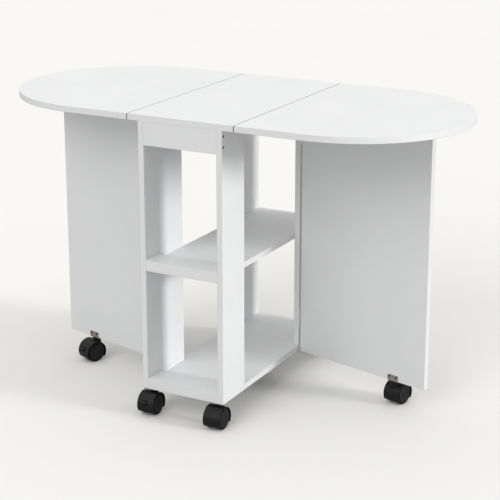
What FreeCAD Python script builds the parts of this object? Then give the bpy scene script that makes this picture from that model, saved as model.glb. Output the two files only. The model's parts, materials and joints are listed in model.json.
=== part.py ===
"""Gateleg table on six castors, as a parametric FreeCAD document.

A narrow fixed centre board stands on four upright posts.  Two drop leaves with
half-round ends are hinged along its long edges, and two solid board gates swing
out from the frame to carry them.  Frame and gates run on twin-wheel castors.

World frame: +X towards the right leaf, +Y towards the back, +Z up, millimetres,
origin on the floor under the middle of the table.  The table is modelled open.
"""
import FreeCAD, Part
import math
import os
import re
import Sketcher

doc = FreeCAD.newDocument("gateleg_table")
sheet = doc.addObject("Spreadsheet::Sheet", "Sizes")

# alias, value, meaning
SIZES = [
    ("table_height", 750, "floor to top surface"),
    ("top_depth", 576, "front to back"),
    ("centre_width", 284, "fixed centre board"),
    ("leaf_reach", 456, "hinged edge to tip of a leaf"),
    ("leaf_gap", 2, "gap between centre board and leaf"),
    ("board", 15, "thickness of every board"),
    ("edge_round", 0.6, "rounding of the board edges"),
    ("frame_width", 226, "over the outer faces of the posts"),
    ("frame_base", 64, "floor to underside of the frame"),
    ("narrow_post", 106, "depth of the narrow posts"),
    ("wide_post", 172, "depth of the wide posts"),
    ("top_rail_drop", 57, "height of the top rails"),
    ("front_rail_deep", 60, "depth of the front rails of both shelves"),
    ("front_rail_tall", 27, "height of the front rails of both shelves"),
    ("shelf_under", 368, "floor to underside of the middle shelf"),
    ("gate_width", 394, "panel width of a gate"),
    ("gate_open", 76.5, "angle of the open gate from the frame side"),
    ("gate_clear", 2, "closed gate to frame side"),
    ("gate_pin_out", 3.2, "gate hinge pin outside the post face"),
    ("gate_pin_fore", 1, "gate hinge pin ahead of the post edge"),
    ("gate_end_gap", 3.3, "gate hinge pin to the panel end"),
    ("gate_top_gap", 3.2, "top of a gate to the underside of the leaf"),
    ("gate_hinge_low", 91, "frame base to the middle of the lower gate hinge"),
    ("gate_hinge_tall", 50, "height of a gate hinge"),
    ("gate_barrel", 3, "outer radius of a gate hinge barrel"),
    ("gate_pin_rad", 1.5, "radius of a gate hinge pin"),
    ("pin_play", 0.05, "radial play of a moving barrel on its pin"),
    ("hinge_leaf", 1.3, "thickness of the hinge plates"),
    ("leaf_hinge_long", 60, "length of a leaf hinge"),
    ("leaf_hinge_wide", 25, "pin to the far edge of a leaf hinge plate"),
    ("leaf_barrel", 2.2, "outer radius of a leaf hinge barrel"),
    ("leaf_pin_rad", 1.1, "radius of a leaf hinge pin"),
    ("leaf_pin_drop", 0.5, "leaf hinge pin below the underside of the boards"),
    ("leaf_rebate", 2.6, "pin to the wall of the rebate round the barrel"),
    ("screw_rad", 1.6, "radius of a small screw"),
    ("screw_head", 3, "radius of a small countersunk head"),
    ("screw_long", 12, "length of a small screw"),
    ("rail_screw_rad", 2.5, "radius of a rail screw"),
    ("rail_screw_head", 3.5, "radius of a rail screw head"),
    ("rail_screw_long", 50, "length of a rail screw"),
    ("dowel_rad", 4, "radius of a dowel"),
    ("dowel_long", 28, "length of a dowel"),
    ("castor_inset_side", 20, "kingpin to the outer side of the frame"),
    ("castor_inset_end", 19, "kingpin to the front or back of the frame"),
    ("castor_plate", 36, "side of the square castor plate"),
    ("castor_plate_thick", 2, "thickness of the castor plate"),
    ("castor_hole_pitch", 26, "castor plate screw spacing"),
    ("castor_trail", 15, "kingpin to axle"),
    ("wheel_rad", 27, "radius of a castor wheel"),
    ("wheel_wide", 14.5, "width of one wheel"),
    ("wheel_inner", 7.5, "middle of the castor to the inner wheel face"),
    ("hood_rad", 29.5, "outer radius of the castor hood"),
    ("hood_room", 27.8, "inner radius of the castor hood"),
    ("hood_half", 22.5, "half width of the castor hood"),
    ("hood_skirt", 11, "floor to the lower edge of the castor hood"),
    ("web_half", 6.5, "half width of the web between the wheels"),
    ("web_rad", 21, "radius of the web below the skirt"),
    ("boss_rad", 10.5, "radius of the boss round the kingpin"),
    ("boss_top", 61.5, "floor to the top of the boss"),
    ("kingpin_rad", 3.5, "radius of the kingpin"),
    ("kingpin_foot", 36, "floor to the lower end of the kingpin"),
    ("axle_rad", 3, "radius of the axle"),
    ("axle_half", 18, "half length of the axle"),
    ("gate_castor_back", 94, "free end of a gate to its kingpin"),
    ("left_castor_turn", -10, "extra turn of the castor under the left gate"),
    ("bracket_wide", 31, "width of the bracket under a gate"),
    ("bracket_tall", 15, "height of the bracket legs"),
    ("bracket_thick", 1, "thickness of the bracket"),
    ("glide_back", 60, "free end of a gate to the middle of its glide"),
    ("glide_long", 30, "length of a glide"),
    ("glide_wide", 11, "width of a glide"),
    ("glide_play", 0.3, "glide to the underside of the leaf"),
    ("pedal_half", 5, "half width of a brake pedal"),
    ("pedal_thick", 6, "thickness of a brake pedal"),
    ("pedal_play", 0.5, "clearance of the pedal in its slot"),
    ("pedal_out", 9.5, "pedal pivot to pedal tip"),
    ("pedal_pivot_fore", 23, "axle to pedal pivot"),
    ("pedal_pivot_up", 9, "axle height to pedal pivot height"),
    ("trunnion_rad", 1.6, "radius of the pedal trunnions"),
]
for line, (alias, value, meaning) in enumerate(SIZES, start=1):
    sheet.set("A%d" % line, meaning)
    sheet.set("B%d" % line, str(value))
    sheet.setAlias("B%d" % line, alias)
doc.recompute()

ALIASES = re.compile(r"\b(%s)\b" % "|".join(alias for alias, _, _ in SIZES))

# formulas used in several places, in terms of the sheet
HALF_DEPTH = "(top_depth / 2)"
UNDER = "(table_height - board)"
FACE = "(frame_width / 2)"
INNER = "(frame_width / 2 - board)"
HINGE_EDGE = "(centre_width / 2)"
LEAF_EDGE = "(centre_width / 2 + leaf_gap)"
LEAF_PIN_X = "(centre_width / 2 + leaf_gap / 2)"
LEAF_PIN_Z = "(table_height - board - leaf_pin_drop)"
GATE_PIN_X = "(frame_width / 2 + gate_pin_out)"
GATE_PIN_Y = "(top_depth / 2 - wide_post - gate_pin_fore)"
GATE_TOP = "(table_height - board - gate_top_gap)"
GATE_INNER = "(gate_clear - gate_pin_out)"      # gate faces, measured from the gate hinge pin
GATE_OUTER = "(gate_clear - gate_pin_out + board)"
GATE_MIDDLE = "(gate_clear - gate_pin_out + board / 2)"
GATE_FREE = "(gate_end_gap + gate_width)"
KINGPIN_BACK = "(gate_end_gap + gate_width - gate_castor_back)"

TURN_TO_X = FreeCAD.Rotation(FreeCAD.Vector(0, 1, 0), 90)
TURN_TO_Y = FreeCAD.Rotation(FreeCAD.Vector(1, 0, 0), -90)
NO_TURN = FreeCAD.Rotation()

parts = {}


def bind(obj, prop, formula):
    """Drive one property of an object from the sheet."""
    obj.setExpression(prop, ALIASES.sub(r"Sizes.\1", str(formula)))


def size(formula):
    """Value of a formula of the sheet, for the few shapes that are set directly."""
    names = {alias: float(sheet.get("B%d" % row)) for row, (alias, _, _) in enumerate(SIZES, 1)}
    total = re.sub(r"[A-Za-z_]+", lambda word: repr(names[word.group()]), str(formula))
    quantity = FreeCAD.Units.Quantity(total)
    return float(quantity.Value)


def place(obj, x=0, y=0, z=0, angle=None):
    """Bind an object's position, and its turn about the vertical if one is given."""
    for axis, formula in (("x", x), ("y", y), ("z", z)):
        bind(obj, "Placement.Base.%s" % axis, formula)
    if angle is not None:
        obj.Placement.Rotation = FreeCAD.Rotation(FreeCAD.Vector(0, 0, 1), 10)
        bind(obj, "Placement.Rotation.Angle", angle)


def box(name, x, y, z):
    """Part::Box between two bounds on each axis."""
    obj = doc.addObject("Part::Box", name)
    for prop, axis, (low, high) in (("Length", "x", x), ("Width", "y", y), ("Height", "z", z)):
        bind(obj, prop, "(%s) - (%s)" % (high, low))
        bind(obj, "Placement.Base.%s" % axis, low)
    return obj


def rod(name, radius, start, end, across, along="z"):
    """Part::Cylinder along an axis between two bounds; across holds the other two coordinates."""
    obj = doc.addObject("Part::Cylinder", name)
    bind(obj, "Radius", radius)
    bind(obj, "Height", "(%s) - (%s)" % (end, start))
    obj.Placement.Rotation = {"x": TURN_TO_X, "y": TURN_TO_Y, "z": NO_TURN}[along]
    rest = [axis for axis in "xyz" if axis != along]
    bind(obj, "Placement.Base.%s" % along, start)
    for axis, formula in zip(rest, across):
        bind(obj, "Placement.Base.%s" % axis, formula)
    return obj


def fuse(name, pieces):
    obj = doc.addObject("Part::MultiFuse", name)
    obj.Shapes = pieces
    return obj


def gather(name, pieces):
    """Part::Compound of separate solids."""
    obj = doc.addObject("Part::Compound", name)
    obj.Links = pieces
    return obj


def cut(name, base, tools):
    """Part::Cut of a base by one tool or several."""
    obj = doc.addObject("Part::Cut", name)
    obj.Base = base
    obj.Tool = tools[0] if len(tools) == 1 else gather(name + "_tools", tools)
    return obj


def keep(node, obj):
    """Name an object as a finished piece."""
    obj.Label = node
    parts[node] = obj
    return obj


# ---------------------------------------------------------------- boards
def sketch_on(body, role, name):
    """Sketch on one of a body's own origin planes."""
    sketch = body.newObject("Sketcher::SketchObject", name)
    plane = [feature for feature in body.Origin.OriginFeatures if feature.Role == role][0]
    sketch.AttachmentSupport = [(plane, "")]
    sketch.MapMode = "FlatFace"
    return sketch


def closed_outline(sketch, corners, arc_from=None):
    """Closed outline whose corners are each driven by two formulas.

    The side that starts at corner arc_from is a half circle about the middle of
    that side; every other side is straight."""
    points = [FreeCAD.Vector(size(x), size(y), 0) for x, y in corners]
    count = len(points)
    for index, point in enumerate(points):
        after = points[(index + 1) % count]
        if index == arc_from:
            circle = Part.Circle((point + after) / 2, FreeCAD.Vector(0, 0, 1), (after - point).Length / 2)
            turn = math.pi / 2 if point.y > after.y else -math.pi / 2
            sketch.addGeometry(Part.ArcOfCircle(circle, turn, turn + math.pi), False)
        else:
            sketch.addGeometry(Part.LineSegment(point, after), False)
    for index in range(count):
        sketch.addConstraint(Sketcher.Constraint("Coincident", index, 2, (index + 1) % count, 1))
    driven = [(index, 1, kind, formula) for index, pair in enumerate(corners)
              for kind, formula in zip(("DistanceX", "DistanceY"), pair)]
    if arc_from is not None:
        driven.append((arc_from, 3, "DistanceX", corners[arc_from][0]))
    for index, point, kind, formula in driven:
        tag = "side%d_point%d_%s" % (index, point, kind[-1].lower())
        row = sketch.addConstraint(Sketcher.Constraint(kind, -1, 1, index, point, size(formula)))
        sketch.renameConstraint(row, tag)
        bind(sketch, "Constraints." + tag, formula)


def board(name, corners, low_z, thick, origin=("0", "0"), arc_from=None):
    """PartDesign body of one board: an outline in plan padded upwards, all edges rounded."""
    body = doc.addObject("PartDesign::Body", name)
    sketch = sketch_on(body, "XY_Plane", name + "_outline")
    closed_outline(sketch, corners, arc_from)
    pad = body.newObject("PartDesign::Pad", name + "_pad")
    pad.Profile = sketch
    bind(pad, "Length", thick)
    doc.recompute()
    rounding = body.newObject("PartDesign::Fillet", name + "_rounding")
    rounding.Base = (pad, ["Edge%d" % (n + 1) for n in range(len(pad.Shape.Edges))])
    bind(rounding, "Radius", "edge_round")
    place(body, origin[0], origin[1], low_z)
    return body


def panel(name, x, y, z):
    """Rectangular board between two bounds on each axis."""
    wide, deep, tall = ["(%s) - (%s)" % (high, low) for low, high in (x, y, z)]
    corners = [("0", "0"), (wide, "0"), (wide, deep), ("0", deep)]
    return board(name, corners, z[0], tall, origin=(x[0], y[0]))


def mirrored(formula, side):
    """The formula itself, or its opposite when side is negative."""
    return formula if side > 0 else "-(%s)" % formula


def side_span(low, high, side):
    """Bounds on the right, or their mirror image on the left when side is negative."""
    return (low, high) if side > 0 else ("-(%s)" % high, "-(%s)" % low)


def end_span(deep, end):
    """Bounds of a piece of that depth, flush with the front (end -1) or the back (end 1)."""
    return ("-" + HALF_DEPTH, "%s - %s" % (deep, HALF_DEPTH)) if end < 0 else \
        ("%s - %s" % (HALF_DEPTH, deep), HALF_DEPTH)


# pieces are gathered here before their holes are cut: node -> (body, [tools])
blanks = {}
holes = {}


def blank(node, body):
    blanks[node] = body
    holes[node] = []


blank("centre_top", panel("centre_top_board", ("-" + HINGE_EDGE, HINGE_EDGE),
                          ("-" + HALF_DEPTH, HALF_DEPTH), (UNDER, "table_height")))

STRAIGHT = "(leaf_reach - top_depth / 2)"
for node, side in (("left_leaf", -1), ("right_leaf", 1)):
    far = mirrored(STRAIGHT, side)
    near_y, far_y = mirrored(HALF_DEPTH, -side), mirrored(HALF_DEPTH, side)
    corners = [("0", near_y), (far, near_y), (far, far_y), ("0", far_y)]
    blank(node, board(node + "_board", corners, UNDER, "board",
                      origin=(mirrored(LEAF_EDGE, side), "0"), arc_from=1))

# two wide posts carry the gates, two narrow ones face them across the frame
POSTS = [("post_front_left", -1, -1, "wide_post"),
         ("post_front_right", 1, -1, "narrow_post"),
         ("post_rear_left", -1, 1, "narrow_post"),
         ("post_rear_right", 1, 1, "wide_post")]
for node, side, end, deep in POSTS:
    blank(node, panel(node + "_board", side_span(INNER, FACE, side), end_span(deep, end),
                      ("frame_base", UNDER)))

BAY = ("-" + INNER, INNER)
RAIL_BACK = "(front_rail_deep - top_depth / 2)"
blank("top_rail_front", panel("top_rail_front_board", BAY, ("-" + HALF_DEPTH, "board - " + HALF_DEPTH),
                              (UNDER + " - top_rail_drop", UNDER)))
blank("top_rail_rear", panel("top_rail_rear_board", BAY, (HALF_DEPTH + " - board", HALF_DEPTH),
                             (UNDER + " - top_rail_drop", UNDER)))
for node, low in (("middle_front_rail", "shelf_under"), ("bottom_front_rail", "frame_base")):
    blank(node, panel(node + "_board", BAY, ("-" + HALF_DEPTH, RAIL_BACK), (low, low + " + front_rail_tall")))
blank("middle_shelf", panel("middle_shelf_board", BAY, (RAIL_BACK, HALF_DEPTH),
                            ("shelf_under", "shelf_under + board")))

# the bottom board reaches out between the posts on both sides
NARROW_EDGE, WIDE_EDGE = "(top_depth / 2 - narrow_post)", "(top_depth / 2 - wide_post)"
blank("bottom_board", board("bottom_board_board", [
    ("-" + INNER, RAIL_BACK), (INNER, RAIL_BACK), (INNER, "-" + NARROW_EDGE), (FACE, "-" + NARROW_EDGE),
    (FACE, WIDE_EDGE), (INNER, WIDE_EDGE), (INNER, HALF_DEPTH), ("-" + INNER, HALF_DEPTH),
    ("-" + INNER, NARROW_EDGE), ("-" + FACE, NARROW_EDGE), ("-" + FACE, "-" + WIDE_EDGE),
    ("-" + INNER, "-" + WIDE_EDGE)], "frame_base", "board"))

# ---------------------------------------------------------------- hardware helpers
def copy_at(node, pieces, x="0", y="0", angle=None):
    """Compound of pieces drawn round the origin, moved into place and turned about Z."""
    obj = gather(node + "_set", pieces)
    place(obj, x, y, "0", angle)
    return obj


def screw(name, x, y, z, along, out):
    """Small countersunk screw; the point is the middle of its flat head.

    along is its axis and out the sign of the way the head faces."""
    spot = {"x": x, "y": y, "z": z}
    start = spot.pop(along)
    tip = "(%s) - (%d) * screw_long" % (start, out)
    low, high = (start, tip) if out < 0 else (tip, start)
    shank = rod(name + "_shank", "screw_rad", low, high, list(spot.values()), along)
    head = doc.addObject("Part::Cone", name + "_head")
    bind(head, "Radius1", "screw_head")
    bind(head, "Radius2", "screw_rad")
    bind(head, "Height", "screw_head - screw_rad")
    inward = FreeCAD.Vector(*[-out if axis == along else 0 for axis in "xyz"])
    head.Placement.Rotation = FreeCAD.Rotation(FreeCAD.Vector(0, 0, 1), inward)
    place(head, x, y, z)
    return fuse(name, [shank, head])


def barrels(middle, long):
    """Bounds of the two end barrels and of the middle barrel of a hinge."""
    low, high = "(%s - %s / 2)" % (middle, long), "(%s + %s / 2)" % (middle, long)
    ends = [(low, "%s + %s / 4" % (low, long)), ("%s - %s / 4" % (high, long), high)]
    return ends, ("%s + %s / 4 + 0.3" % (low, long), "%s - %s / 4 - 0.3" % (high, long))


# ---------------------------------------------------------------- leaf hinges
# drawn on the right edge of the centre board; the left hinges are the same set turned half round
LEAF_HINGE_SPOTS = [("back", "210"), ("middle", "25"), ("front", "-160")]
PLATE_LOW = "(%s - hinge_leaf)" % UNDER
PIN_X, PIN_Z = LEAF_PIN_X, LEAF_PIN_Z
leaf_fixed, leaf_moving, leaf_pins = [], [], []
fixed_screws, moving_screws, rebates = [], [], []
for tag, spot in LEAF_HINGE_SPOTS:
    ends, inner = barrels(spot, "leaf_hinge_long")
    whole = (ends[0][0], ends[1][1])
    name = "leaf_hinge_%s" % tag
    leaf_pins.append(rod(name + "_pin", "leaf_pin_rad", whole[0], whole[1], (PIN_X, PIN_Z), "y"))
    bore = rod(name + "_bore", "leaf_pin_rad + pin_play", whole[0], whole[1], (PIN_X, PIN_Z), "y")
    rebates.append(box(name + "_rebate", (PIN_X + " - leaf_rebate", PIN_X + " + leaf_rebate"),
                       (whole[0] + " - 0.5", whole[1] + " + 0.5"),
                       (UNDER + " - 1", PIN_Z + " + leaf_rebate")))
    for kind, out, spans, plates, screws in (("fixed", -1, ends, leaf_fixed, fixed_screws),
                                             ("moving", 1, [inner], leaf_moving, moving_screws)):
        near = "%s + (%d) * (leaf_barrel + 0.4)" % (PIN_X, out)
        far = "%s + (%d) * leaf_hinge_wide" % (PIN_X, out)
        sheet_x = (near, far) if out > 0 else (far, near)
        tab_x = (PIN_X, near) if out > 0 else (near, PIN_X)
        pieces = [box("%s_%s_plate" % (name, kind), sheet_x, whole, (PLATE_LOW, UNDER))]
        for number, span in enumerate(spans):
            label = "%s_%s_%d" % (name, kind, number)
            pieces.append(rod(label + "_barrel", "leaf_barrel", span[0], span[1],
                              (PIN_X, PIN_Z), "y"))
            pieces.append(box(label + "_tab", tab_x, span, (PLATE_LOW, UNDER)))
        pair = [screw("%s_%s_screw%d" % (name, kind, end), "%s + (%d) * 17" % (PIN_X, out),
                      "(%s) + (%d) * 20" % (spot, end), PLATE_LOW, "z", -1) for end in (-1, 1)]
        drill = pair + ([leaf_pins[-1]] if kind == "fixed" else [bore])
        solid = fuse("%s_%s_solid" % (name, kind), pieces)
        plates.append(cut("%s_%s" % (name, kind), solid, drill))
        screws.extend(pair)

leaf_screws_left = copy_at("leaf_screws_left", moving_screws, angle="180")
fixed_screws_left = copy_at("fixed_screws_left", fixed_screws, angle="180")
rebates_left = copy_at("rebates_left", rebates, angle="180")
holes["centre_top"] += rebates + [rebates_left] + fixed_screws + [fixed_screws_left]
holes["right_leaf"] += rebates + moving_screws
holes["left_leaf"] += [rebates_left, leaf_screws_left]
for node, pieces in (("leaf_hinge_fixed_plates", leaf_fixed), ("leaf_hinge_pins", leaf_pins)):
    keep(node, gather(node, pieces + [copy_at(node + "_left", pieces, angle="180")]))
keep("right_leaf_hinge_plates", gather("right_leaf_hinge_plates", leaf_moving))
keep("left_leaf_hinge_plates", copy_at("left_leaf_hinge_plates", leaf_moving, angle="180"))
keep("right_leaf_screws", gather("right_leaf_screws", moving_screws))
keep("left_leaf_screws", leaf_screws_left)

# ---------------------------------------------------------------- gate hinges
# a gate and all that it carries are drawn closed, pointing to -Y, round the hinge pin at the origin
SIDES = [("right", GATE_PIN_X, GATE_PIN_Y, "gate_open", "0"),
         ("left", "-" + GATE_PIN_X, "-" + GATE_PIN_Y, "gate_open + 180", "180")]
POST_FACE = "(-gate_pin_out)"
HINGE_HEIGHTS = [("low", "(frame_base + gate_hinge_low)"), ("high", "(%s - gate_hinge_low)" % UNDER)]
gate_fixed, gate_moving, gate_pins, post_screws, end_screws = [], [], [], [], []
for tag, middle in HINGE_HEIGHTS:
    ends, inner = barrels(middle, "gate_hinge_tall")
    whole = (ends[0][0], ends[1][1])
    name = "gate_hinge_%s" % tag
    pin = rod(name + "_pin", "gate_pin_rad", whole[0], whole[1], ("0", "0"))
    bore = rod(name + "_bore", "gate_pin_rad + pin_play", whole[0], whole[1], ("0", "0"))
    gate_pins.append(pin)
    clear = "(gate_barrel + 0.4)"
    post_x = (POST_FACE, POST_FACE + " + hinge_leaf")
    end_y = ("-gate_end_gap", "hinge_leaf - gate_end_gap")
    fixed = [box(name + "_fixed_plate", post_x, (clear, "16"), whole)]
    for number, span in enumerate(ends):
        fixed.append(rod("%s_fixed_barrel%d" % (name, number), "gate_barrel", span[0], span[1],
                         ("0", "0")))
        fixed.append(box("%s_fixed_tab%d" % (name, number), post_x, ("0", clear), span))
    moving = [box(name + "_moving_plate", (clear, GATE_OUTER + " - 1"), end_y, whole),
              rod(name + "_moving_barrel", "gate_barrel", inner[0], inner[1], ("0", "0")),
              box(name + "_moving_tab", ("0", clear), end_y, inner)]
    on_post = [screw("%s_post_screw%d" % (name, end), POST_FACE + " + hinge_leaf", "10",
                     "%s + (%d) * 15" % (middle, end), "x", 1) for end in (-1, 1)]
    on_end = [screw("%s_end_screw%d" % (name, end), "8.2", "hinge_leaf - gate_end_gap",
                    "%s + (%d) * 15" % (middle, end), "y", 1) for end in (-1, 1)]
    gate_fixed.append(cut(name + "_fixed", fuse(name + "_fixed_solid", fixed), on_post + [pin]))
    gate_moving.append(cut(name + "_moving", fuse(name + "_moving_solid", moving), on_end + [bore]))
    post_screws += on_post
    end_screws += on_end

post_screw_sets = {}
for side, pin_x, pin_y, swing, turn in SIDES:
    post_screw_sets[side] = copy_at("post_screws_" + side, post_screws, pin_x, pin_y, turn)
holes["post_rear_right"].append(post_screw_sets["right"])
holes["post_front_left"].append(post_screw_sets["left"])
for node, pieces in (("gate_hinge_fixed_plates", gate_fixed), ("gate_hinge_pins", gate_pins)):
    keep(node, gather(node, [copy_at("%s_%s" % (node, side), pieces, pin_x, pin_y, turn)
                             for side, pin_x, pin_y, swing, turn in SIDES]))

# ---------------------------------------------------------------- gates
BRACKET_MID = "-" + KINGPIN_BACK
BRACKET_Y = (BRACKET_MID + " - bracket_wide / 2", BRACKET_MID + " + bracket_wide / 2")
BRACKET_TOP = "(frame_base + bracket_tall)"
BRACKET_INNER, BRACKET_OUTER = GATE_INNER + " - bracket_thick", GATE_OUTER + " + bracket_thick"
kingpin = rod("gate_kingpin", "kingpin_rad", "kingpin_foot", "frame_base", (GATE_MIDDLE, BRACKET_MID))
bracket_solid = fuse("bracket_solid", [
    box("bracket_base", (BRACKET_INNER, BRACKET_OUTER), BRACKET_Y,
        ("frame_base - bracket_thick", "frame_base")),
    box("bracket_inner_leg", (BRACKET_INNER, GATE_INNER), BRACKET_Y, ("frame_base", BRACKET_TOP)),
    box("bracket_outer_leg", (GATE_OUTER, BRACKET_OUTER), BRACKET_Y, ("frame_base", BRACKET_TOP))])

# two small rivets near the upper corners of the bracket and a larger one below them
RIVETS = [("back", "10.5", "10.5", "1.5", "2.6"), ("front", "-10.5", "10.5", "1.5", "2.6"),
          ("middle", "0", "4.6", "1.8", "3.2")]
rivets = []
for tag, across, up, rad, head in RIVETS:
    spot = ("%s + %s" % (BRACKET_MID, across), "frame_base + %s" % up)
    name = "rivet_" + tag
    rivets.append(fuse(name, [
        rod(name + "_shank", rad, BRACKET_INNER, BRACKET_OUTER, spot, "x"),
        rod(name + "_inner_head", head, BRACKET_INNER + " - 0.6", BRACKET_INNER, spot, "x"),
        rod(name + "_outer_head", head, BRACKET_OUTER, BRACKET_OUTER + " + 0.6", spot, "x")]))
bracket = cut("bracket", bracket_solid, rivets + [kingpin])

GLIDE_MID = "(glide_back - %s)" % GATE_FREE
glide = fuse("glide", [
    box("glide_pad", (GATE_MIDDLE + " - glide_wide / 2", GATE_MIDDLE + " + glide_wide / 2"),
        (GLIDE_MID + " - glide_long / 2", GLIDE_MID + " + glide_long / 2"),
        (GATE_TOP, UNDER + " - glide_play")),
    rod("glide_peg", "2.5", GATE_TOP + " - 10", GATE_TOP, (GATE_MIDDLE, GLIDE_MID))])

gate_board = panel("gate_board", (GATE_INNER, GATE_OUTER), ("-" + GATE_FREE, "-gate_end_gap"),
                   ("frame_base", GATE_TOP))
gate_panel = cut("gate_panel", gate_board, end_screws + rivets + [glide])
GATE_SET = [("gate", [gate_panel]), ("gate_hinge_plates", gate_moving), ("gate_screws", end_screws),
            ("gate_bracket", [bracket]), ("gate_rivets", rivets), ("gate_kingpin", [kingpin]),
            ("gate_glide", [glide])]
for side, pin_x, pin_y, swing, turn in SIDES:
    for node, pieces in GATE_SET:
        keep("%s_%s" % (side, node), copy_at("%s_%s" % (side, node), pieces, pin_x, pin_y, swing))

# ---------------------------------------------------------------- castors
# drawn round the kingpin at the origin, axle along X, trailing towards -Y
AXLE = ("-castor_trail", "wheel_rad")


def wheel(name, turn):
    """Solid of revolution: tread, chamfered rims, a dished outer face and a blind bore."""
    body = doc.addObject("PartDesign::Body", name)
    sketch = sketch_on(body, "XY_Plane", name + "_section")
    outer = "(wheel_inner + wheel_wide)"
    closed_outline(sketch, [("wheel_inner", "axle_rad"), ("wheel_inner", "wheel_rad - 1.5"),
                            ("wheel_inner + 1.5", "wheel_rad"), (outer + " - 2", "wheel_rad"),
                            (outer, "wheel_rad - 2"), (outer, "wheel_rad - 3.6"),
                            (outer + " - 0.8", "wheel_rad - 4.4"), (outer + " - 0.8", "0"),
                            ("axle_half", "0"), ("axle_half", "axle_rad")])
    turned = body.newObject("PartDesign::Revolution", name + "_turned")
    turned.Profile = sketch
    turned.ReferenceAxis = (sketch, ["H_Axis"])
    turned.Angle = 360
    place(body, "0", AXLE[0], AXLE[1], turn)
    return body


wheel_pair = [wheel("wheel_one", "0"), wheel("wheel_two", "180")]
axle = rod("axle", "axle_rad", "-axle_half", "axle_half", AXLE, "x")

drum = rod("hood_drum", "hood_rad", "-hood_half", "hood_half", AXLE, "x")
below = box("hood_below", ("-hood_half - 1", "hood_half + 1"), ("-60", "40"), ("-10", "hood_skirt"))
hood_solid = fuse("hood_solid", [
    cut("hood_round", drum, [below]),
    rod("hood_web", "web_rad", "-web_half", "web_half", AXLE, "x"),
    rod("hood_boss", "boss_rad", "wheel_rad + 20", "boss_top", ("0", "0")),
    box("hood_neck", ("-web_half", "web_half"), ("-castor_trail", "10"), ("wheel_rad", "wheel_rad + 25"))])
hood = cut("hood", hood_solid, [
    rod("wheel_room_one", "hood_room", "web_half", "hood_half + 5", AXLE, "x"),
    rod("wheel_room_two", "hood_room", "-hood_half - 5", "-web_half", AXLE, "x"),
    rod("kingpin_bore", "kingpin_rad + pin_play", "kingpin_foot - 0.5", "boss_top + 5", ("0", "0")),
    rod("axle_bore", "axle_rad + pin_play", "-axle_half", "axle_half", AXLE, "x")])

# two castors have a brake pedal, which rocks on trunnions in a slot of the hood
PIVOT = ("(-castor_trail - pedal_pivot_fore)", "(wheel_rad + pedal_pivot_up)")
pedal_slot = box("pedal_slot", ("-pedal_half - pedal_play", "pedal_half + pedal_play"),
                 ("-70", PIVOT[0] + " + pedal_thick / 2 + pedal_play"),
                 (PIVOT[1] + " - pedal_thick", PIVOT[1] + " + pedal_thick / 2 + 2"))
pivot_bore = rod("pivot_bore", "trunnion_rad + pin_play", "-web_half", "web_half", PIVOT, "x")
braked_hood = cut("braked_hood", hood, [pedal_slot, pivot_bore])
pedal = fuse("pedal", [
    box("pedal_lever", ("-pedal_half", "pedal_half"), (PIVOT[0] + " - pedal_out", PIVOT[0]),
        (PIVOT[1] + " - pedal_thick / 2", PIVOT[1] + " + pedal_thick / 2")),
    rod("pedal_hub", "pedal_thick / 2", "-pedal_half", "pedal_half", PIVOT, "x"),
    rod("pedal_trunnions", "trunnion_rad", "0.3 - web_half", "web_half - 0.3", PIVOT, "x")])



def keep_castor(tag, braked, x, y, angle):
    """All pieces of one castor, with a brake pedal where it has one."""
    pieces = {"hood": [braked_hood if braked else hood], "axle": [axle], "wheels": wheel_pair}
    if braked:
        pieces["brake_pedal"] = [pedal]
    for kind, group in pieces.items():
        node = "%s_castor_%s" % (tag, kind)
        keep(node, copy_at(node, group, x, y, angle))


FOOT_X, FOOT_Y = "(frame_width / 2 - castor_inset_side)", "(top_depth / 2 - castor_inset_end)"
plates, plate_screws, kingpins = [], [], []
for node, side, end, deep in POSTS:
    tag = node[len("post_"):]
    x, y = mirrored(FOOT_X, side), mirrored(FOOT_Y, end)
    pin = rod("kingpin_" + tag, "kingpin_rad", "kingpin_foot", "frame_base", (x, y))
    fixings = [screw("castor_screw_%s_%d%d" % (tag, i + 1, j + 1),
                     "%s + (%d) * castor_hole_pitch / 2" % (x, i),
                     "%s + (%d) * castor_hole_pitch / 2" % (y, j),
                     "frame_base - castor_plate_thick", "z", -1) for i in (-1, 1) for j in (-1, 1)]
    plate = box("castor_plate_" + tag, (x + " - castor_plate / 2", x + " + castor_plate / 2"),
                (y + " - castor_plate / 2", y + " + castor_plate / 2"),
                ("frame_base - castor_plate_thick", "frame_base"))
    plates.append(cut("castor_plate_drilled_" + tag, plate, fixings + [pin]))
    plate_screws += fixings
    kingpins.append(pin)
    holes[node] += fixings
    holes["bottom_front_rail" if end < 0 else "bottom_board"] += fixings
    keep_castor(tag, tag == "front_left", x, y, "0" if end < 0 else "180")
keep("castor_plates", gather("castor_plates", plates))
keep("castor_kingpins", gather("castor_kingpins", kingpins))

# a gate's kingpin, turned about the hinge pin with the open gate
REACH = "(%s * cos(gate_open) + %s * sin(gate_open))" % (GATE_MIDDLE, KINGPIN_BACK)
RISE = "(%s * sin(gate_open) - %s * cos(gate_open))" % (GATE_MIDDLE, KINGPIN_BACK)
for side, pin_x, pin_y, swing, turn in SIDES:
    sign = 1 if side == "right" else -1
    extra = " + left_castor_turn" if side == "left" else ""
    keep_castor(side + "_gate", side == "left", "%s + %s" % (pin_x, mirrored(REACH, sign)),
                "%s + %s" % (pin_y, mirrored(RISE, sign)), "%s + 90%s" % (swing, extra))

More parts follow.
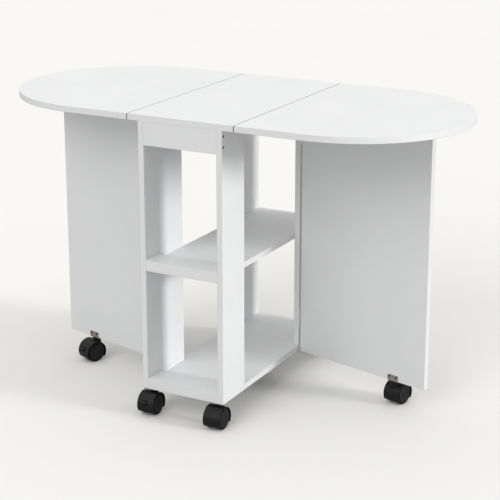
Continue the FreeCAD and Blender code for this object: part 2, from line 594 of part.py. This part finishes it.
# ---------------------------------------------------------------- screws and dowels of the frame
rail_screws = []
for side in (-1, 1):
    for end, rail in ((-1, "top_rail_front"), (1, "top_rail_rear")):
        post = [node for node, s, e, deep in POSTS if (s, e) == (side, end)][0]
        for drop in ("14", "40"):
            name = "rail_screw_%s_%s" % (post[5:], drop)
            spot = (mirrored(HALF_DEPTH + " - board / 2", end), "%s - %s" % (UNDER, drop))
            tip, mid, face = FACE + " - rail_screw_long", FACE + " - 4", FACE + " - 0.4"
            shank_x, head_x = side_span(tip, mid, side), side_span(mid, face, side)
            hollow_x = side_span(FACE + " - 2.6", face, side)
            pocket_x = side_span(mid, FACE + " + 1", side)
            shank = rod(name + "_shank", "rail_screw_rad", shank_x[0], shank_x[1], spot, "x")
            head = rod(name + "_head", "rail_screw_head", head_x[0], head_x[1], spot, "x")
            hollow = rod(name + "_socket", "rail_screw_rad - 0.7", hollow_x[0], hollow_x[1], spot, "x")
            rail_screws.append(cut(name, fuse(name + "_solid", [shank, head]), [hollow]))
            pocket = rod(name + "_pocket", "rail_screw_head", pocket_x[0], pocket_x[1], spot, "x")
            holes[post] += [shank, pocket]
            holes[rail].append(shank)
keep("rail_screws", gather("rail_screws", rail_screws))

dowels = []


def dowel(name, nodes, along, start, end, across):
    """One dowel, and its holes in the two boards that it joins."""
    peg = rod(name, "dowel_rad", start, end, across, along)
    dowels.append(peg)
    for node in nodes:
        holes[node].append(peg)


# dowel spots are measured from the front or back of the table, clear of the other fixings
for node, side, end, deep in POSTS:
    wide = deep == "wide_post"
    for number, inset in enumerate((48, 140 if wide else 88)):
        x, y = mirrored(FACE + " - board / 2", side), mirrored("%s - %d" % (HALF_DEPTH, inset), end)
        dowel("dowel_top_%s_%d" % (node[5:], number), ("centre_top", node), "z",
              UNDER + " + 10 - dowel_long", UNDER + " + 10", (x, y))
    span = side_span(INNER + " + 10 - dowel_long", INNER + " + 10", side)
    for shelf, rail, low in (("middle_shelf", "middle_front_rail", "shelf_under"),
                             ("bottom_board", "bottom_front_rail", "frame_base")):
        if end < 0:
            insets = (83, 145) if wide else (83,)
        else:
            insets = (53, 138) if wide else (53, 88)
        for number, inset in enumerate(insets):
            dowel("dowel_%s_%s_%d" % (shelf, node[5:], number), (shelf, node), "x", span[0], span[1],
                  (mirrored("%s - %d" % (HALF_DEPTH, inset), end), low + " + board / 2"))
        if end < 0:
            dowel("dowel_%s_%s" % (rail, node[5:]), (rail, node), "x", span[0], span[1],
                  (mirrored("%s - 43" % HALF_DEPTH, end), low + " + front_rail_tall / 2"))
keep("dowels", gather("dowels", dowels))
keep("frame_screws", gather("frame_screws", fixed_screws + [fixed_screws_left] +
                            list(post_screw_sets.values()) + plate_screws))

for node, body in blanks.items():
    keep(node, cut(node, body, holes[node]) if holes[node] else body)

# ---------------------------------------------------------------- check and write
doc.recompute()
faults = [obj.Name for obj in doc.Objects if "Invalid" in obj.State or "Error" in obj.State]
faults += [node for node, obj in parts.items() if obj.Shape.isNull() or not obj.Shape.isValid()]
if faults or len(parts) > 60:
    raise SystemExit("failed objects: %s, pieces: %d" % (faults, len(parts)))
os.makedirs("parts", exist_ok=True)
for node, obj in sorted(parts.items()):
    obj.Shape.exportStep("parts/%s.step" % node)
print("%d pieces written" % len(parts))
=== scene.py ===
"""Looks of a white gateleg table on black twin-wheel castors, open, in a pale studio."""
import json
import math

import bmesh
import bpy
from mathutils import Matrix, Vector


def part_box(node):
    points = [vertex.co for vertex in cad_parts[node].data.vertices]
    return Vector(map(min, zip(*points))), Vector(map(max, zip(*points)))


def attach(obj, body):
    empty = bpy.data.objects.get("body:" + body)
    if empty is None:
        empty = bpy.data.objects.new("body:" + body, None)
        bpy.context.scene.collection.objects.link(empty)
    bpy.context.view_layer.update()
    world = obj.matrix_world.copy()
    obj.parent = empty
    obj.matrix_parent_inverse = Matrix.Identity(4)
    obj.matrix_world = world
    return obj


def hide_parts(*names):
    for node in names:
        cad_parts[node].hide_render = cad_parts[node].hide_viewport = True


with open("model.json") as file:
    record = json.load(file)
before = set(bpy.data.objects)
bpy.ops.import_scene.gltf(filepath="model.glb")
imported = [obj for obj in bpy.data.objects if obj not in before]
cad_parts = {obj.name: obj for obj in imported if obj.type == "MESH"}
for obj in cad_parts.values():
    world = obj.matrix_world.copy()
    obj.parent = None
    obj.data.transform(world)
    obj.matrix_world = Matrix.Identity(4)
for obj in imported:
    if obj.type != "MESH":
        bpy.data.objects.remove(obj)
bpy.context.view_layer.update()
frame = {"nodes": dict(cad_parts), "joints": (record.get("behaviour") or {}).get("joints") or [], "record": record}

scene = bpy.context.scene
nodes = frame["nodes"]
joints = {joint["name"]: joint for joint in frame["joints"]}
UP = Vector((0, 0, 1))


# ---------------------------------------------------------------- material helpers
class Shader:
    """A node material under construction; most calls add a node and return its output socket."""

    def __init__(self, name):
        self.material = bpy.data.materials.new(name)
        self.material.use_nodes = True
        self.tree = self.material.node_tree
        self.surface = self.tree.nodes["Principled BSDF"]
        self.place = self.tree.nodes.new("ShaderNodeTexCoord")

    def put(self, socket, value):
        """Sets a socket to a number or colour, or links it to another socket."""
        if isinstance(value, bpy.types.NodeSocket):
            self.tree.links.new(value, socket)
        else:
            socket.default_value = value

    def coords(self, stretch):
        """Object coordinates, stretched along each axis."""
        node = self.tree.nodes.new("ShaderNodeMapping")
        node.inputs["Scale"].default_value = stretch
        self.put(node.inputs["Vector"], self.place.outputs["Object"])
        return node.outputs["Vector"]

    def noise(self, scale, detail=2.0, rough=0.5, vector=None):
        """Cloudy noise; scale is about the number of clouds in a metre."""
        node = self.tree.nodes.new("ShaderNodeTexNoise")
        self.put(node.inputs["Vector"], vector or self.place.outputs["Object"])
        node.inputs["Scale"].default_value = scale
        node.inputs["Detail"].default_value = detail
        node.inputs["Roughness"].default_value = rough
        return node.outputs["Fac"]

    def cells(self, scale):
        """Distance to the nearest of a field of scattered points."""
        node = self.tree.nodes.new("ShaderNodeTexVoronoi")
        node.feature = "F1"
        self.put(node.inputs["Vector"], self.place.outputs["Object"])
        node.inputs["Scale"].default_value = scale
        return node.outputs["Distance"]

    def calc(self, operation, first, second=0.0):
        """Result of an operation on one or two numbers."""
        node = self.tree.nodes.new("ShaderNodeMath")
        node.operation = operation
        self.put(node.inputs[0], first)
        self.put(node.inputs[1], second)
        return node.outputs[0]

    def spread(self, value, low, high, to_low=0.0, to_high=1.0):
        """Maps low..high to to_low..to_high and clamps."""
        node = self.tree.nodes.new("ShaderNodeMapRange")
        node.inputs["From Min"].default_value = low
        node.inputs["From Max"].default_value = high
        node.inputs["To Min"].default_value = to_low
        node.inputs["To Max"].default_value = to_high
        self.put(node.inputs["Value"], value)
        return node.outputs["Result"]

    def blend(self, amount, first, second):
        """Mix of two colours."""
        node = self.tree.nodes.new("ShaderNodeMix")
        node.data_type = "RGBA"
        inputs = {socket.identifier: socket for socket in node.inputs}
        outputs = {socket.identifier: socket for socket in node.outputs}
        for name, value in (("Factor_Float", amount), ("A_Color", first), ("B_Color", second)):
            self.put(inputs[name], (*value, 1.0) if isinstance(value, tuple) else value)
        return outputs["Result_Color"]

    def bump(self, height, strength, distance, under=None):
        """Surface direction with a relief on it, on top of the relief under."""
        node = self.tree.nodes.new("ShaderNodeBump")
        node.inputs["Strength"].default_value = strength
        node.inputs["Distance"].default_value = distance
        self.put(node.inputs["Height"], height)
        if under:
            self.put(node.inputs["Normal"], under)
        return node.outputs["Normal"]

    def along(self, axis, socket_name):
        """Dot product of the object coordinates or the surface direction with an axis."""
        node = self.tree.nodes.new("ShaderNodeVectorMath")
        node.operation = "DOT_PRODUCT"
        self.put(node.inputs[0], self.place.outputs[socket_name])
        node.inputs[1].default_value = axis
        return node.outputs["Value"]

    def finish(self, **inputs):
        """Sets the Principled shader's inputs; underscores stand for spaces."""
        for name, value in inputs.items():
            socket = self.surface.inputs[name.replace("_", " ")]
            self.put(socket, (*value, 1.0) if isinstance(value, tuple) else value)
        return self.material


# ---------------------------------------------------------------- materials
BOARD_THICK = 0.015
FACING_LINE = (0.0009, 0.0006)      # depths under a face where the line along an edge starts and is full
GAP_SHADE_REACH = (0.0004, 0.0012)         # distances from a hinge gap where its painted shade starts to fade and ends
MELAMINE = ((0.800, 0.803, 0.808), (0.822, 0.825, 0.830))
SPECK = (0.765, 0.768, 0.772)
EDGE_BAND = (0.815, 0.817, 0.818)
LINE = (0.55, 0.54, 0.52)
# painted shade on the narrow sides of boards that face a hinge gap
GAP_SHADE = (0.33, 0.328, 0.322)
NYLON = (0.0065, 0.0065, 0.007)
NYLON_SPECULAR = 0.3
TARNISH_SHADE = 0.55                # tarnish as a part of a metal's darker colour
RIVET_FADE = 0.0002                 # half the height over which a rivet's colour changes


def facing_board(name, axis, middle, thick=BOARD_THICK, gaps=()):
    """White melamine facing with an edge band on the narrow sides.

    axis is the direction through the board's thickness and middle its middle on that axis. gaps holds a
    direction and a place along it for each narrow side that faces a hinge gap, where the gap's shade is painted."""
    look = Shader(name)
    flat = look.calc("ABSOLUTE", look.along(axis, "Normal"))
    edge = look.spread(flat, 0.55, 0.75, to_low=1.0, to_high=0.0)
    depth = look.calc("ABSOLUTE", look.calc("SUBTRACT", look.along(axis, "Object"), middle))
    outer = look.spread(depth, thick / 2 - FACING_LINE[0], thick / 2 - FACING_LINE[1])
    line = look.calc("MULTIPLY", outer, edge)
    cloud = look.spread(look.noise(5.0, detail=4.0, rough=0.6), 0.35, 0.65)
    speck = look.spread(look.noise(900.0, detail=1.0), 0.60, 0.80)
    colour = look.blend(cloud, MELAMINE[0], MELAMINE[1])
    colour = look.blend(look.calc("MULTIPLY", speck, 0.18), colour, SPECK)
    colour = look.blend(look.calc("MULTIPLY", edge, 0.5), colour, EDGE_BAND)
    colour = look.blend(look.calc("MULTIPLY", line, 0.55), colour, LINE)
    # painted shade of the hinge gaps on the narrow sides that face them
    for across, place in gaps:
        away = look.calc("ABSOLUTE", look.calc("SUBTRACT", look.along(across, "Object"), place))
        near = look.spread(away, GAP_SHADE_REACH[0], GAP_SHADE_REACH[1], to_low=1.0, to_high=0.0)
        sideways = look.spread(look.calc("ABSOLUTE", look.along(across, "Normal")), 0.55, 0.80)
        colour = look.blend(look.calc("MULTIPLY", near, sideways), colour, GAP_SHADE)
    smears = look.noise(11.0, detail=5.0, rough=0.7, vector=look.coords((1, 1, 0.35)))
    pores = look.bump(look.noise(1500.0, detail=1.0), strength=0.06, distance=0.0002)
    relief = look.bump(look.noise(420.0), strength=0.05, distance=0.0006, under=pores)
    return look.finish(Base_Color=colour, Normal=relief, Specular_IOR_Level=0.45,
                       Roughness=look.spread(smears, 0.3, 0.7, to_low=0.36, to_high=0.47))


def moulded_black(name):
    """Satin black moulded nylon: fine spark texture, duller patches, pale scuffs."""
    look = Shader(name)
    scuffs = look.spread(look.noise(70.0, detail=6.0, rough=0.75), 0.55, 0.80, to_high=0.16)
    dull = look.spread(look.noise(160.0, detail=3.0), 0.3, 0.7, to_low=0.34, to_high=0.48)
    grain = look.bump(look.noise(700.0), strength=0.12, distance=0.0003)
    spark = look.bump(look.cells(2600.0), strength=0.10, distance=0.0002, under=grain)
    return look.finish(Base_Color=look.blend(scuffs, NYLON, (0.05, 0.049, 0.047)), Roughness=dull,
                       Normal=spark, Specular_IOR_Level=NYLON_SPECULAR)


def tread_black(name):
    """Wheel plastic: as the hood, rougher, with patches of grey floor dust."""
    look = Shader(name)
    dust = look.spread(look.noise(90.0, detail=6.0, rough=0.8), 0.50, 0.80, to_high=0.22)
    dull = look.spread(look.noise(180.0, detail=4.0), 0.3, 0.7, to_low=0.38, to_high=0.56)
    grain = look.bump(look.noise(1300.0), strength=0.14, distance=0.0003)
    return look.finish(Base_Color=look.blend(dust, NYLON, (0.06, 0.059, 0.056)), Roughness=dull,
                       Normal=grain, Specular_IOR_Level=NYLON_SPECULAR)


def worked_metal(name, light, dark, rough, stretch=(1, 1, 1), tarnish=0.3):
    """Plated steel with fine marks, which stretch draws out along an axis, and faint tarnish."""
    look = Shader(name)
    marks = look.noise(900.0, detail=3.0, rough=0.6, vector=look.coords(stretch))
    patches = look.spread(look.noise(120.0, detail=5.0, rough=0.7), 0.40, 0.75)
    tarnished = tuple(TARNISH_SHADE * part for part in dark)
    colour = look.blend(look.spread(marks, 0.3, 0.7), dark, light)
    colour = look.blend(look.calc("MULTIPLY", patches, tarnish), colour, tarnished)
    dull = look.spread(marks, 0.25, 0.75, to_low=rough[0], to_high=rough[1])
    return look.finish(Base_Color=colour, Metallic=1.0, Roughness=dull,
                       Normal=look.bump(marks, strength=0.10, distance=0.0002))


def rivet_metal(name, height):
    """Rivets black above a height and bright steel below it."""
    look = Shader(name)
    marks = look.noise(1400.0, detail=3.0, rough=0.6)
    shade = look.spread(marks, 0.3, 0.7)
    bare = look.blend(shade, (0.52, 0.51, 0.50), (0.74, 0.73, 0.71))
    black = look.blend(shade, (0.030, 0.028, 0.027), (0.075, 0.070, 0.066))
    upper = look.spread(look.along(UP, "Object"), height - RIVET_FADE, height + RIVET_FADE)
    dull = look.spread(marks, 0.25, 0.75, to_low=0.24, to_high=0.40)
    return look.finish(Base_Color=look.blend(upper, bare, black), Metallic=1.0, Roughness=dull,
                       Normal=look.bump(marks, strength=0.12, distance=0.0002))


def bare_wood(name):
    """Turned beech: long grain with small flecks."""
    look = Shader(name)
    grain = look.noise(300.0, detail=5.0, rough=0.6, vector=look.coords((0.15, 1, 1)))
    fleck = look.spread(look.cells(1400.0), 0.15, 0.30, to_low=1.0, to_high=0.0)
    colour = look.blend(look.spread(grain, 0.3, 0.7), (0.52, 0.35, 0.20), (0.66, 0.48, 0.30))
    colour = look.blend(look.calc("MULTIPLY", fleck, 0.3), colour, (0.36, 0.22, 0.12))
    return look.finish(Base_Color=colour, Roughness=look.spread(grain, 0.3, 0.7, to_low=0.55, to_high=0.7),
                       Normal=look.bump(grain, strength=0.2, distance=0.0004))


def pale_plastic(name):
    """Slightly yellowed hard plastic of the gate glides."""
    look = Shader(name)
    cloud = look.spread(look.noise(60.0, detail=4.0, rough=0.6), 0.35, 0.7)
    colour = look.blend(cloud, (0.66, 0.65, 0.60), (0.74, 0.73, 0.69))
    return look.finish(Base_Color=colour, Roughness=look.spread(cloud, 0.0, 1.0, to_low=0.38, to_high=0.5),
                       Normal=look.bump(look.noise(800.0), strength=0.1, distance=0.0003))


def dress(node, material):
    """Gives every material slot of a CAD node the same material."""
    slots = nodes[node].material_slots
    for slot in slots:
        slot.material = material
    if not slots:
        nodes[node].data.materials.append(material)


# ---------------------------------------------------------------- boards
AXES = {"x": (1, 0, 0), "y": (0, 1, 0), "z": (0, 0, 1)}
THROUGH = {"centre_top": "z", "left_leaf": "z", "right_leaf": "z", "middle_shelf": "z",
           "bottom_board": "z", "post_front_left": "x", "post_front_right": "x",
           "post_rear_left": "x", "post_rear_right": "x", "top_rail_front": "y", "top_rail_rear": "y"}
HINGE_EDGES = {"centre_top": (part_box("centre_top")[0][0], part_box("centre_top")[1][0]),
               "left_leaf": (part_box("left_leaf")[1][0],),
               "right_leaf": (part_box("right_leaf")[0][0],)}
for node, letter in THROUGH.items():
    low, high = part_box(node)
    index = "xyz".index(letter)
    middle = (low[index] + high[index]) / 2
    gaps = [(AXES["x"], edge) for edge in HINGE_EDGES.get(node, ())]
    dress(node, facing_board("facing_" + node, AXES[letter], middle, gaps=gaps))

# the front rails are thicker than the other boards
for node in ("middle_front_rail", "bottom_front_rail"):
    low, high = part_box(node)
    dress(node, facing_board("facing_" + node, AXES["z"], (low[2] + high[2]) / 2, high[2] - low[2]))

# both gates stand open at the same angle, one turned half round from the other
opened = math.radians(-min(joints["gate_right_swing"]["range_deg"]))
through_gate = Vector((math.cos(opened), math.sin(opened), 0.0))
along_gate = Vector((-math.sin(opened), math.cos(opened), 0.0))
for side in ("left", "right"):
    node = side + "_gate"
    low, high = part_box(node)
    middle = (Vector(low) + Vector(high)) / 2
    pin = Vector(joints["gate_" + side + "_swing"]["pos_m"]).dot(along_gate)
    ends = [vertex.co.dot(along_gate) for vertex in nodes[node].data.vertices]
    hinge_end = min(ends, key=lambda place: abs(place - pin))
    dress(node, facing_board("facing_" + node, through_gate, middle.dot(through_gate),
                             gaps=[(along_gate, hinge_end)]))

# ---------------------------------------------------------------- hardware
plated = worked_metal("plated_steel", light=(0.86, 0.86, 0.86), dark=(0.72, 0.72, 0.72),
                      rough=(0.35, 0.5), stretch=(1, 1, 0.1), tarnish=0.15)
bracket = worked_metal("zinc_plate", light=(0.62, 0.54, 0.46), dark=(0.42, 0.35, 0.29),
                       rough=(0.3, 0.48), stretch=(1, 1, 0.15))
bright = worked_metal("bright_steel", light=(0.72, 0.72, 0.71), dark=(0.55, 0.55, 0.55), rough=(0.18, 0.3))
dark_screw = worked_metal("dark_screw", light=(0.20, 0.20, 0.21), dark=(0.11, 0.11, 0.12), rough=(0.35, 0.5))
hood_black = moulded_black("hood_plastic")
wheel_black = tread_black("wheel_plastic")
wood = bare_wood("dowel_beech")
glide = pale_plastic("glide_plastic")
SLOTS = {"screw_steel": dark_screw, "dowel_beech": wood, "hinge_steel": plated,
         "bracket_steel": bracket, "castor_plastic": hood_black, "castor_wheel": wheel_black,
         "pin_steel": bright, "glide_plastic": glide}
for entry in frame["record"]["subparts"]:
    if entry["material_slot"] in SLOTS:
        dress(entry["node"], SLOTS[entry["material_slot"]])
for node in ("left_gate_rivets", "right_gate_rivets"):
    low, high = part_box(node)
    dress(node, rivet_metal("metal_" + node, (low[2] + high[2]) / 2))

# ---------------------------------------------------------------- castor wheels
TURNS = 96                          # facets round a wheel
ROUNDING = 5                        # facets of a rounded corner
SHARP = math.radians(38)            # edges that turn by more than this stay sharp
ON_AXLE = 1e-6                      # below this radius a ring is a single point on the axle


def rounded(corners):
    """Outline of (across, radius, rounding) corners with each corner turned into a curve."""
    line = []
    for index, (across, radius, rounding) in enumerate(corners):
        corner = Vector((across, radius))
        if not rounding:
            line.append(corner)
            continue
        before = Vector(corners[index - 1][:2])
        after = Vector(corners[(index + 1) % len(corners)][:2])
        start = corner + (before - corner).normalized() * rounding
        end = corner + (after - corner).normalized() * rounding
        for step in range(ROUNDING + 1):
            t = step / ROUNDING
            line.append(start.lerp(corner, t).lerp(corner.lerp(end, t), t))
    return line


def lathe(shape, outline, centre, axle, outward):
    """Adds to a bmesh a closed solid, an outline of (across, radius) turned about the axle."""
    side = axle.cross(UP)
    rings = []
    for across, radius in outline:
        middle = centre + axle * (outward * across)
        if radius < ON_AXLE:
            rings.append([shape.verts.new(middle)])
            continue
        turns = [2 * math.pi * k / TURNS for k in range(TURNS)]
        rings.append([shape.verts.new(middle + (side * math.cos(a) + UP * math.sin(a)) * radius)
                      for a in turns])
    pairs = list(zip(rings, rings[1:]))
    if len(rings[0]) > 1:
        pairs.append((rings[-1], rings[0]))
    for near, far in pairs:
        for k in range(TURNS):
            following = (k + 1) % TURNS
            corners = []
            for vertex in (near[k % len(near)], near[following % len(near)],
                           far[following % len(far)], far[k % len(far)]):
                if vertex not in corners:
                    corners.append(vertex)
            if len(corners) > 2:
                shape.faces.new(corners)


def make_piece(name, shape, body, material):
    """Turns a bmesh into a smooth-shaded piece riding on a body."""
    bmesh.ops.recalc_face_normals(shape, faces=shape.faces)
    mesh = bpy.data.meshes.new(name)
    shape.to_mesh(mesh)
    shape.free()
    mesh.shade_smooth()
    mesh.set_sharp_from_angle(angle=SHARP)
    piece = bpy.data.objects.new(name, mesh)
    scene.collection.objects.link(piece)
    piece.data.materials.append(material)
    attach(piece, body)
    return piece


def wheel_outline(inner, outer, rim, bore, blind):
    """Half section of a wheel: distance along the axle, radius and rounding of each corner, in metres.

    inner and outer are the wheel's two faces, rim its radius, bore and blind the radius and end of the
    hole for the axle."""
    return [
        (inner, bore, 0),                               # mouth of the hole
        (inner, rim - 0.0015, 0.0006),                  # inner face
        (inner + 0.0015, rim, 0.0006),                  # tread
        (outer - 0.0025, rim, 0.0009),
        (outer - 0.0015, rim - 0.0012, 0.0005),         # narrow rim
        (outer - 0.0030, rim - 0.0018, 0.0004),         # groove inside the rim
        (outer - 0.0030, rim - 0.0044, 0.0004),
        (outer - 0.0002, rim - 0.0048, 0.0009),         # disc, dished towards the hub
        (outer - 0.0010, 0.0100, 0.0006),
        (outer - 0.0013, 0.0088, 0.0003),               # groove round the hub cap
        (outer - 0.0002, 0.0080, 0.0005),               # hub cap
        (outer, 0, 0),
        (blind, 0, 0),                                  # end of the hole
        (blind, bore, 0)]


def wheels(tag):
    """Pair of wheels of one castor, on the centre, axle and width of its CAD wheels."""
    node = tag + "_castor_wheels"
    low, high = (Vector(corner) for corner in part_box(node))
    centre = (low + high) / 2
    rim = (high.z - low.z) / 2
    axle = Vector(joints["wheel_" + tag]["axis"]).normalized()
    spans = [abs((vertex.co - centre).dot(axle)) for vertex in nodes[node].data.vertices]
    pin = nodes[tag + "_castor_axle"].data.vertices
    blind = max(abs((vertex.co - centre).dot(axle)) for vertex in pin)
    bore = (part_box(tag + "_castor_axle")[1][2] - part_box(tag + "_castor_axle")[0][2]) / 2
    outline = rounded(wheel_outline(min(spans), max(spans), rim, bore, blind))
    shape = bmesh.new()
    for outward in (1, -1):
        lathe(shape, outline, centre, axle, outward)
    piece = make_piece(tag + "_wheel_pair", shape, tag + "_castor_wheelset", wheel_black)
    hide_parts(node)


for name in joints:
    if name.startswith("wheel_"):
        wheels(name[len("wheel_"):])

# ---------------------------------------------------------------- brake tabs
POINTS = 24                         # points round a section of a tab
SQUARE = (0.45, 0.55)               # across and up: 1 gives an ellipse, less squares it
TIP_FROM = 0.8                      # part of the CAD pedal's length where its width and thickness are read
RIBS = 6
RIB_START = 0.55                    # place of the first rib and step to the next, as parts of the length
RIB_STEP = 0.05
RIB_DEEP = 0.0003
TRUNNION_RADIUS = 0.0016
TRUNNION_ROOT = 0.9                 # part of the tab's half width where a trunnion starts
EASED = 0.0002                      # chamfer of a trunnion's end and of the heel
# sections from the heel to the pivot: place in tab thicknesses, then parts of width, bottom and top
HEEL_END = (0.95, 0.45, 0.45)
HEEL = ((-0.3, 1.0, 0.9, 0.9), (0.0, 1.0, 1.0, 1.0))
# sections of the domed thumb end: parts of the tab's length, width, bottom and top
THUMB = ((0.87, 0.96, 0.90, 0.88), (0.94, 0.86, 0.72, 0.70), (0.985, 0.66, 0.45, 0.42),
         (1.0, 0.40, 0.20, 0.18))


def bent(value, power):
    """Power of a number that keeps its sign."""
    return math.copysign(abs(value) ** power, value)


def loft(shape, sections, pivot, ahead, axle):
    """Adds to a bmesh a closed skin through sections of (place ahead, half width, bottom, top)."""
    rings = []
    for place, wide, bottom, top in sections:
        ring = []
        for k in range(POINTS):
            angle = 2 * math.pi * k / POINTS
            across = bent(math.cos(angle), SQUARE[0]) * wide
            height = (top + bottom) / 2 + bent(math.sin(angle), SQUARE[1]) * (top - bottom) / 2
            ring.append(shape.verts.new(pivot + ahead * place + axle * across + UP * height))
        rings.append(ring)
    for near, far in zip(rings, rings[1:]):
        for k in range(POINTS):
            following = (k + 1) % POINTS
            shape.faces.new((near[k], near[following], far[following], far[k]))
    shape.faces.new(rings[0])
    shape.faces.new(reversed(rings[-1]))


def pedal(tag):
    """Brake tab with a domed, ribbed thumb end and two trunnions, on the size of its CAD pedal."""
    node = tag + "_castor_brake_pedal"
    joint = joints["pedal_" + tag]
    pivot = Vector(joint["pos_m"])
    axle = Vector(joint["axis"]).normalized()
    ahead = UP.cross(axle)
    vertices = [vertex.co - pivot for vertex in nodes[node].data.vertices]
    if max(v.dot(ahead) for v in vertices) < -min(v.dot(ahead) for v in vertices):
        ahead = -ahead
    reach = max(v.dot(ahead) for v in vertices)
    tip = [v for v in vertices if v.dot(ahead) > TIP_FROM * reach]
    half = max(abs(v.dot(axle)) for v in tip)
    thick = max(v.z for v in tip) - min(v.z for v in tip)
    trunnion = max(abs(v.dot(axle)) for v in vertices)
    low, high = -thick / 2, thick / 2
    sections = [(low + EASED, half * HEEL_END[0], low * HEEL_END[1], high * HEEL_END[2])]
    sections += [(thick * place, half * wide, low * down, high * up) for place, wide, down, up in HEEL]
    for k in range(RIBS):
        groove = RIB_DEEP if k % 2 else 0.0
        sections.append((reach * RIB_START + reach * RIB_STEP * k, half, low, high - groove))
    sections += [(reach * place, half * wide, low * down, high * up) for place, wide, down, up in THUMB]
    shape = bmesh.new()
    loft(shape, sections, pivot, ahead, axle)
    radius = min(thick / 2, TRUNNION_RADIUS)
    root = half * TRUNNION_ROOT
    for outward in (1, -1):
        lathe(shape, [(root, 0), (root, radius), (trunnion - EASED, radius),
                      (trunnion, radius - EASED), (trunnion, 0)], pivot, axle, outward)
    piece = make_piece(tag + "_brake_tab", shape, tag + "_castor_pedal", hood_black)
    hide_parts(node)


for name in joints:
    if name.startswith("pedal_"):
        pedal(name[len("pedal_"):])

# ---------------------------------------------------------------- softened edges of the hardware
# width in metres and facets of the rounding, by the ending of a node's name
SOFTENED = {"castor_hood": (0.0008, 3), "gate_bracket": (0.0003, 2), "hinge_plates": (0.0003, 2),
            "castor_plates": (0.0004, 2), "gate_glide": (0.0008, 3)}
SOFTENED_FROM = math.radians(40)    # edges that turn by less than this aren't rounded


def soften(node, width, facets):
    """Rounds the sharp edges of a CAD node with a modifier."""
    bevel = nodes[node].modifiers.new("softened", "BEVEL")
    bevel.width = width
    bevel.segments = facets
    bevel.limit_method = "ANGLE"
    bevel.angle_limit = SOFTENED_FROM
    bevel.harden_normals = True


for node in nodes:
    for ending, (width, facets) in SOFTENED.items():
        if node.endswith(ending):
            soften(node, width, facets)

# ---------------------------------------------------------------- floor
FLOOR_HALF = 40.0                   # metres from the middle to the floor's edge
FLOOR_BOUNCE = (0.42, 0.42, 0.42)   # the floor's colour for the light it throws back at the table
FLOOR_SHOWN = ((0.836, 0.829, 0.803), (0.846, 0.839, 0.813))


def floor_material():
    """Pale studio paper; it throws less light back up at the table than it shows to the eye."""
    look = Shader("studio_floor")
    cloud = look.spread(look.noise(1.5, detail=3.0), 0.3, 0.7)
    shown = look.blend(cloud, FLOOR_SHOWN[0], FLOOR_SHOWN[1])
    direct = look.tree.nodes.new("ShaderNodeLightPath").outputs["Is Camera Ray"]
    colour = look.blend(direct, FLOOR_BOUNCE, shown)
    return look.finish(Base_Color=colour, Roughness=1.0, IOR=1.0, Specular_IOR_Level=0.0)


mesh = bpy.data.meshes.new("floor")
shape = bmesh.new()
bmesh.ops.create_grid(shape, x_segments=8, y_segments=8, size=FLOOR_HALF)
shape.to_mesh(mesh)
shape.free()
floor = bpy.data.objects.new("floor", mesh)
scene.collection.objects.link(floor)
floor.data.materials.append(floor_material())

# ---------------------------------------------------------------- light
BACKGROUND = (0.905, 0.896, 0.863, 1)       # shown beyond the floor
DOME = (1.0, 1.0, 1.0, 1)                   # lights the table from all round
DOME_STRENGTH = 0.64

world = bpy.data.worlds.new("studio")
scene.world = world
world.use_nodes = True
tree = world.node_tree
tree.nodes.clear()
out = tree.nodes.new("ShaderNodeOutputWorld")
seen = tree.nodes.new("ShaderNodeBackground")
lit = tree.nodes.new("ShaderNodeBackground")
pick = tree.nodes.new("ShaderNodeMixShader")
path = tree.nodes.new("ShaderNodeLightPath")
seen.inputs["Color"].default_value = BACKGROUND
lit.inputs["Color"].default_value = DOME
lit.inputs["Strength"].default_value = DOME_STRENGTH
tree.links.new(path.outputs["Is Camera Ray"], pick.inputs[0])
tree.links.new(lit.outputs[0], pick.inputs[1])
tree.links.new(seen.outputs[0], pick.inputs[2])
tree.links.new(pick.outputs[0], out.inputs["Surface"])


def sun(name, travel, power, width):
    """Distant soft light; travel is the way its rays go and width its angle in degrees."""
    lamp = bpy.data.lights.new(name, "SUN")
    lamp.energy = power
    lamp.angle = math.radians(width)
    holder = bpy.data.objects.new(name, lamp)
    holder.rotation_mode = "QUATERNION"
    holder.rotation_quaternion = Vector(travel).to_track_quat("-Z", "Y")
    scene.collection.objects.link(holder)


sun("key", travel=(-1.0, -0.12, -0.25), power=1.72, width=12.0)
sun("overhead", travel=(0.0, 0.0, -1.0), power=0.62, width=70.0)
sun("front", travel=(0.12, 1.0, -0.2), power=0.2, width=50.0)
sun("front_high", travel=(0.1, 1.0, -0.75), power=0.75, width=35.0)

# ---------------------------------------------------------------- camera
CAMERA_SPOT = (1.6685, -3.0332, 1.4567)
CAMERA_TURN = math.radians(28.376)          # turned left from straight back
CAMERA_DIP = math.radians(15.648)           # tipped down from level
CAMERA_LENS = 102.87                        # millimetres, as is the sensor's width
CAMERA_SENSOR = 36.0
CAMERA_SHIFT = -0.1

camera = bpy.data.objects.new("camera", bpy.data.cameras.new("camera"))
scene.collection.objects.link(camera)
scene.camera = camera
aim = Vector((-math.sin(CAMERA_TURN) * math.cos(CAMERA_DIP),
              math.cos(CAMERA_TURN) * math.cos(CAMERA_DIP), -math.sin(CAMERA_DIP)))
camera.location = CAMERA_SPOT
camera.rotation_mode = "QUATERNION"
camera.rotation_quaternion = aim.to_track_quat("-Z", "Y")
camera.data.lens = CAMERA_LENS
camera.data.sensor_width = CAMERA_SENSOR
camera.data.shift_y = CAMERA_SHIFT
camera.data.clip_start = 0.1
camera.data.clip_end = 100.0
camera.data.dof.use_dof = False

scene.view_settings.view_transform = "Standard"
scene.view_settings.look = "None"
